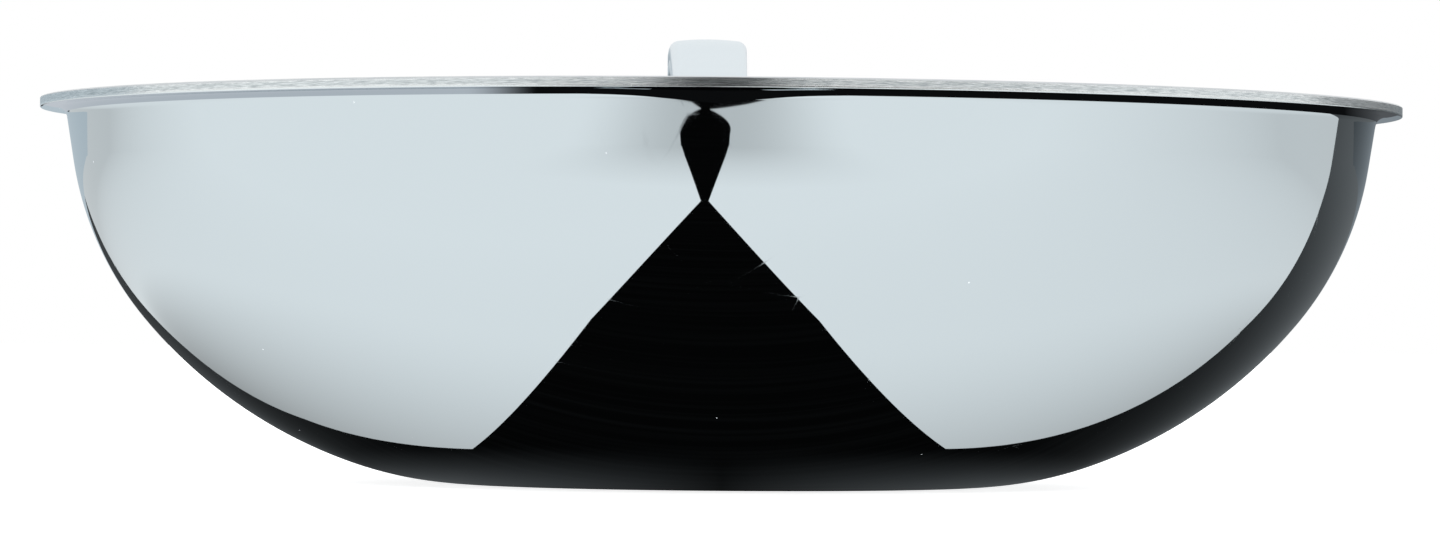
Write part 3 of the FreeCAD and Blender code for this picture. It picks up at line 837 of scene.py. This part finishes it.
eye_lip, eye_lip_height = 1.6 * mm, 0.7 * mm
lip_bedding = 0.35 * mm                 # how far the lip sinks into the crowned shell
point, square = on_line(eye_distance)
lip_radius = eye_bore + eye_wall + eye_lip
bend, bend_steps = 0.5 * mm, 6
bend_height = handle_half + eye_lip_height - bend
half_outline = []
for centre, side in ((eye_bore + bend, -1), (lip_radius - bend, 1)):
    turns = [math.pi / 2 * step / bend_steps for step in range(bend_steps + 1)]
    if side > 0:
        turns.reverse()
    for turn in turns:
        half_outline.append((centre + side * bend * math.cos(turn), bend_height + bend * math.sin(turn)))
half_outline.append((lip_radius, handle_half - lip_bedding))
half_outline.append((eye_bore + eye_wall, handle_half - lip_bedding))
profile = half_outline + [(r, -z) for r, z in reversed(half_outline)]
bm = turned(profile, segments=64)
bmesh.ops.transform(bm, matrix=standing(square, point), verts=bm.verts)
eye = finished(bm, "hanging_eye_tube", rivet_steel)
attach(eye, "root")
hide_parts("hanging_eye")

# ---------------------------------------------------------------- studio
# A pale floor and soft light all round. What the polished steel mirrors is seen by reflections
# only: a dark table, two white cards laid on it, and cloths round them.


def only_reflected(name, bm, material):
    """A stage piece that reflections show and nothing else does."""
    piece = finished(bm, name, material)
    piece.visible_camera = False
    piece.visible_diffuse = False
    piece.visible_shadow = False
    piece.visible_transmission = False
    return piece


def bowed(start, middle, end, pieces=12):
    """Points on the curve through three points, without the last one. All in mm."""
    points = []
    for number in range(pieces):
        t = number / pieces
        a, b, c = (1 - t) * (1 - 2 * t), 4 * t * (1 - t), t * (2 * t - 1)
        points.append(tuple(a * s + b * m + c * e for s, m, e in zip(start, middle, end)))
    return points


floor_size = 40.0                       # m
table_height, card_height = -2 * mm, -1 * mm    # under the floor, which reflections don't show
bm = bmesh.new()
bmesh.ops.create_grid(bm, x_segments=1, y_segments=1, size=floor_size / 2)
material, tree, output = new_material("pale_floor")
paint = add(tree, "ShaderNodeBsdfPrincipled", {
    "Base Color": srgb("#f4f5f5"), "Roughness": 0.9, "Specular IOR Level": 0.0,
    "Emission Color": srgb("#ffffff"), "Emission Strength": 0.85,
})
tree.links.new(paint.outputs[0], output.inputs["Surface"])
floor = finished(bm, "floor", material)
floor.visible_glossy = False

# The table is dark stained wood with a fine grain from left to right. It is lighter behind the
# pan, where a window lights it, and just round the base, where light comes through under it.
material, tree, output = new_material("dark_table")
place = add(tree, "ShaderNodeTexCoord").outputs["Object"]
grain = grains(tree, place, (250, 2.2, 100), distortion=0.6)
grain = add(tree, "ShaderNodeMapRange", (grain, 0.45, 0.75, 0.0018, 0.0040))
from_axis = add(tree, "ShaderNodeVectorMath", (place,), operation="LENGTH").outputs["Value"]
axes = add(tree, "ShaderNodeSeparateXYZ", (place,))
near_base = add(tree, "ShaderNodeMapRange", (
    from_axis, 90 * mm, 60 * mm, 0.0, 0.07,
), interpolation_type="SMOOTHSTEP")
sideways = add(tree, "ShaderNodeMath", (axes.outputs["X"],), operation="ABSOLUTE")
beside = add(tree, "ShaderNodeMapRange", (sideways, 0.0, 60 * mm, 0.08, 1.0))
near_base = add(tree, "ShaderNodeMath", (near_base, beside), operation="MULTIPLY")
backwards = add(tree, "ShaderNodeMath", (axes.outputs["Y"], from_axis), operation="DIVIDE")
behind = add(tree, "ShaderNodeMapRange", (backwards, -0.9, 1.0, 0.0, 1.0))
behind = add(tree, "ShaderNodeMath", (behind, 2.6), operation="POWER")
window = add(tree, "ShaderNodeMapRange", (axes.outputs["X"], -200 * mm, 0.0, 0.07, 0.18))
glow = add(tree, "ShaderNodeMath", (behind, window, near_base), operation="MULTIPLY_ADD")
glow = add(tree, "ShaderNodeMath", (glow, grain), operation="ADD")
wood = add(tree, "ShaderNodeEmission", {"Color": srgb("#e4edf2"), "Strength": glow})
tree.links.new(wood.outputs[0], output.inputs["Surface"])
bm = bmesh.new()
bmesh.ops.create_grid(bm, x_segments=1, y_segments=1, size=floor_size / 2)
bmesh.ops.translate(bm, vec=(0, 0, table_height), verts=bm.verts)
only_reflected("table_reflection", bm, material)

# The cards: white, dimmer close to the pan, towards the far right, far behind on the left, and
# beyond the place where they meet.
card_material, tree, output = new_material("white_card")
place = add(tree, "ShaderNodeNewGeometry").outputs["Position"]
axes = add(tree, "ShaderNodeSeparateXYZ", (place,))
dim_centre, join_x = (0, 100 * mm, 0), -14 * mm
near_pan = add(tree, "ShaderNodeVectorMath", (place, dim_centre), operation="DISTANCE")
near_pan = add(tree, "ShaderNodeMapRange", (
    near_pan.outputs["Value"], 120 * mm, 230 * mm, 0.34, 1.0,
), interpolation_type="SMOOTHSTEP")
power = near_pan
for direction, begin, end, dimmed in (
    ((0.35, 1.0, 0), -200 * mm, 400 * mm, 0.72), ((-0.3, 1.0, 0), 100 * mm, 900 * mm, 0.93),
):
    far = add(tree, "ShaderNodeVectorMath", (place, direction), operation="DOT_PRODUCT")
    far = add(tree, "ShaderNodeMapRange", (far.outputs["Value"], begin, end, 1.0, dimmed))
    power = add(tree, "ShaderNodeMath", (power, far), operation="MULTIPLY")
from_join = add(tree, "ShaderNodeMath", (axes.outputs["X"], join_x), operation="SUBTRACT")
from_join = add(tree, "ShaderNodeMath", (from_join,), operation="ABSOLUTE")
at_join = add(tree, "ShaderNodeMapRange", (
    from_join, 20 * mm, 150 * mm, 0.66, 1.0,
), interpolation_type="SMOOTHSTEP")
nearer = add(tree, "ShaderNodeMapRange", (axes.outputs["Y"], -390 * mm, -260 * mm, 0.0, 1.0))
at_join = add(tree, "ShaderNodeMix", {0: nearer, 2: at_join, 3: 1.0}, data_type="FLOAT")
power = add(tree, "ShaderNodeMath", (power, at_join), operation="MULTIPLY")
glow = add(tree, "ShaderNodeEmission", {"Color": srgb("#f3f9fb"), "Strength": power})
tree.links.new(glow.outputs[0], output.inputs["Surface"])

# Seen from the pan, the cards meet in a point in front of it, part again round the lens and
# end beyond it. Behind, each one leaves the pan at a slant. Points are (x, y) in mm.
lens_end = (-23, -442)
left_near_corner, left_waist, left_of_lens = (-58, -66), (-13, -238), (-47, -418)
right_near_corner, right_waist, right_of_lens = (52, -73), (-9, -238), (4, -418)
left_card = (
    bowed(left_near_corner, (-36, -146), left_waist) + bowed(left_waist, (-33, -346), left_of_lens)
    + bowed(left_of_lens, (-41, -432), lens_end) + [(-38, -446), (-60, -448)]
    + bowed((-167, -498), (-380, -790), (-646, -1210))
    + [(-2000, -3000), (-9000, -3000), (-9000, 9000), (-3000, 9000), (-656, 1731), (-400, 825)]
    + bowed((-287, 451), (-222, 253), (-164, 99)) + bowed((-164, 99), (-135, 38), (-104, -16))
    + bowed((-104, -16), (-81, -44), left_near_corner)
)
right_card = (
    bowed(right_near_corner, (23, -149), right_waist)
    + bowed(right_waist, (-1, -346), right_of_lens)
    + bowed(right_of_lens, (0, -431), lens_end) + [(20, -445), (48, -449)]
    + bowed((101, -456), (300, -620), (700, -850))
    + [(1800, -1050), (9000, -1500), (9000, 8700), (923, 737)]
    + bowed((485, 301), (330, 152), (184, 25)) + bowed((184, 25), (117, -27), right_near_corner)
)
for name, outline in (("left_card_reflection", left_card), ("right_card_reflection", right_card)):
    bm = bmesh.new()
    bm.faces.new([bm.verts.new((x * mm, y * mm, card_height)) for x, y in outline])
    bmesh.ops.triangulate(bm, faces=bm.faces)
    only_reflected(name, bm, card_material)


def screen(name, start, end, reach, height, code, strength):
    """An upright band of cloth between two azimuths in degrees, this far off and this high
    in metres."""
    bm = bmesh.new()
    steps = 24
    azimuths = [start + (end - start) * step / steps for step in range(steps + 1)]
    verts = [bm.verts.new((reach * sine(a), -reach * cosine(a), table_height)) for a in azimuths]
    edges = [bm.edges.new(pair) for pair in zip(verts, verts[1:])]
    raised = bmesh.ops.extrude_edge_only(bm, edges=edges)
    top = [item for item in raised["geom"] if isinstance(item, bmesh.types.BMVert)]
    bmesh.ops.translate(bm, vec=(0, 0, height), verts=top)
    material, tree, output = new_material(name)
    glow = add(tree, "ShaderNodeEmission", {"Color": srgb(code), "Strength": strength})
    tree.links.new(glow.outputs[0], output.inputs["Surface"])
    return only_reflected(name, bm, material)


screen("dark_cloth_in_front", -10, 8, 2.0, 0.8, "#0a0c10", 0.5)
screen("pale_cloth_left", 181, 250, 2.1, 0.25, "#b6c3cb", 1.0)
# the cloth on the right is lit from behind the pan
cloth = screen("graded_cloth_right", 112, 180, 2.0, 0.2, "#d2e0ea", 1.0)
tree = cloth.data.materials[0].node_tree
place = add(tree, "ShaderNodeTexCoord").outputs["Object"]
axes = add(tree, "ShaderNodeSeparateXYZ", (place,))
graded = add(tree, "ShaderNodeMapRange", (axes.outputs["X"], 1.3, 0.2, 0.09, 0.40))
tree.links.new(graded.outputs[0], tree.nodes["Emission"].inputs["Strength"])

# A narrow ring close under the rim, seen only in reflections, paints shade into the corner below the
# flange: dark in front, where it hangs 2 mm lower, and on the right, and grey on the left.
shade_inner, shade_height = rim_radius - 5.9 * mm, flange_underside - 1.2 * mm
front_drop, drop_half_width, front_middle = 2 * mm, 28 * mm, -3 * mm
bm = bmesh.new()
bmesh.ops.create_circle(bm, cap_ends=False, segments=720, radius=shade_inner)
inner_edges = bm.edges[:]
outward = bmesh.ops.extrude_edge_only(bm, edges=inner_edges)
outer_verts = [item for item in outward["geom"] if isinstance(item, bmesh.types.BMVert)]
widen = rim_radius / shade_inner
bmesh.ops.scale(bm, vec=(widen, widen, 1), verts=outer_verts)
for vert in bm.verts:
    share = max(0.0, 1 - abs(vert.co.x - front_middle) / drop_half_width)
    vert.co.z = shade_height - (front_drop * share ** 1.5 if vert.co.y < 0 else 0.0)
material, tree, output = new_material("shade_under_rim")
place = add(tree, "ShaderNodeTexCoord").outputs["Object"]
axes = add(tree, "ShaderNodeSeparateXYZ", (place,))
# painted shade: the ring glows grey on the left and is nearly black in front and on the right
left_shade = add(tree, "ShaderNodeMapRange", (
    axes.outputs["X"], -56 * mm, -40 * mm, 0.72, 0.006,
), interpolation_type="SMOOTHSTEP")
right_shade = add(tree, "ShaderNodeMapRange", (axes.outputs["X"], 138 * mm, 152 * mm, 0.0, 0.11))
strength = add(tree, "ShaderNodeMath", (left_shade, right_shade), operation="ADD")
shade = add(tree, "ShaderNodeEmission", {"Color": srgb("#dfe6ee"), "Strength": strength})
tree.links.new(shade.outputs[0], output.inputs["Surface"])
only_reflected("shade_under_rim", bm, material)

world = bpy.data.worlds.new("studio")
bpy.context.scene.world = world
world.use_nodes = True
background = world.node_tree.nodes["Background"]
background.inputs["Color"].default_value = (1, 1, 1, 1)
background.inputs["Strength"].default_value = 1.0
bpy.context.scene.view_settings.view_transform = "Standard"
